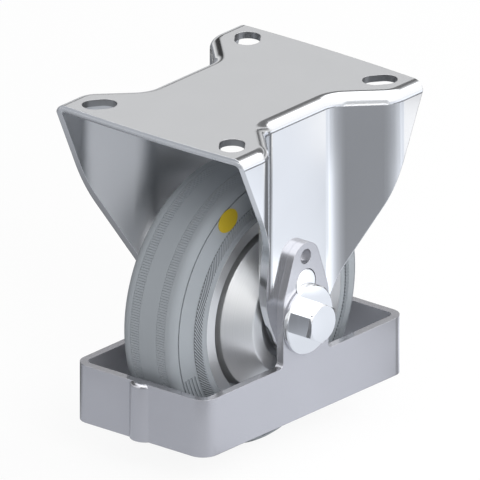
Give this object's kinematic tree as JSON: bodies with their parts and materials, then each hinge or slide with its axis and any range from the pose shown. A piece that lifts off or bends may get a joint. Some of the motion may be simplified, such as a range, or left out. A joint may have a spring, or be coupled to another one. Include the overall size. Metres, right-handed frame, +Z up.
{
  "type": "fixed caster with foot guard",
  "caption": "Fixed plate caster: pressed steel bracket, rubber-tyred wheel on ball bearings, and a steel foot guard ring welded at one end and bolted to both legs by the axle.",
  "frame": {"origin": "centre of the plate's top face, which bolts up against what the caster carries", "axes": "+Z up, out of the plate's top face; X is the rolling direction; Y runs along the axle, with the bolt head on the -Y side"},
  "size_m": [0.111, 0.085, 0.127],
  "materials": {
    "bracket_zinc": "bright zinc plate, smooth and reflective",
    "guard_zinc": "dull zinc plate",
    "fastener_zinc": "bright zinc plate",
    "stud_zinc": "bright zinc plate, faced flush",
    "tyre_rubber": "matte grey solid rubber with a moulded tread and side pattern",
    "wheel_aluminium": "turned die-cast aluminium",
    "bearing_steel": "ground bearing steel",
    "bearing_seal": "black rubber seal",
    "bearing_cage": "natural plastic",
    "nut_nylon": "natural nylon",
    "label_yellow": "plain yellow oval label"
  },
  "bodies": {
    "fork": {"bracket": "bracket_zinc", "foot_guard": "guard_zinc", "near_locating_stud": "stud_zinc", "far_locating_stud": "stud_zinc", "axle_bolt": "fastener_zinc", "axle_nut": "fastener_zinc", "nut_locking_ring": "nut_nylon", "near_washer": "fastener_zinc", "far_washer": "fastener_zinc", "axle_tube": "fastener_zinc", "bearing_spacer": "fastener_zinc", "near_hub_spacer": "fastener_zinc", "far_hub_spacer": "fastener_zinc", "near_bearing_inner_ring": "bearing_steel", "far_bearing_inner_ring": "bearing_steel"},
    "wheel": {"tyre": "tyre_rubber", "wheel_centre": "wheel_aluminium", "tyre_label": "label_yellow", "near_bearing_outer_ring": "bearing_steel", "far_bearing_outer_ring": "bearing_steel", "near_bearing_seals": "bearing_seal", "far_bearing_seals": "bearing_seal"},
    "near_ball_set": {"near_bearing_balls": "bearing_steel", "near_bearing_cage": "bearing_cage"},
    "far_ball_set": {"far_bearing_balls": "bearing_steel", "far_bearing_cage": "bearing_cage"}
  },
  "joints": [
    {"name": "wheel_spin", "type": "hinge", "parent": "fork", "child": "wheel", "pos_m": [0, 0, -0.077], "axis": [0, 1, 0], "continuous": true},
    {"name": "near_balls_turn", "type": "hinge", "parent": "fork", "child": "near_ball_set", "pos_m": [0, 0, -0.077], "axis": [0, 1, 0], "continuous": true},
    {"name": "far_balls_turn", "type": "hinge", "parent": "fork", "child": "far_ball_set", "pos_m": [0, 0, -0.077], "axis": [0, 1, 0], "continuous": true}
  ],
  "couplings": [
    {"joint": "near_balls_turn", "follows": "wheel_spin", "ratio": 0.63523},
    {"joint": "far_balls_turn", "follows": "wheel_spin", "ratio": 0.63523}
  ]
}
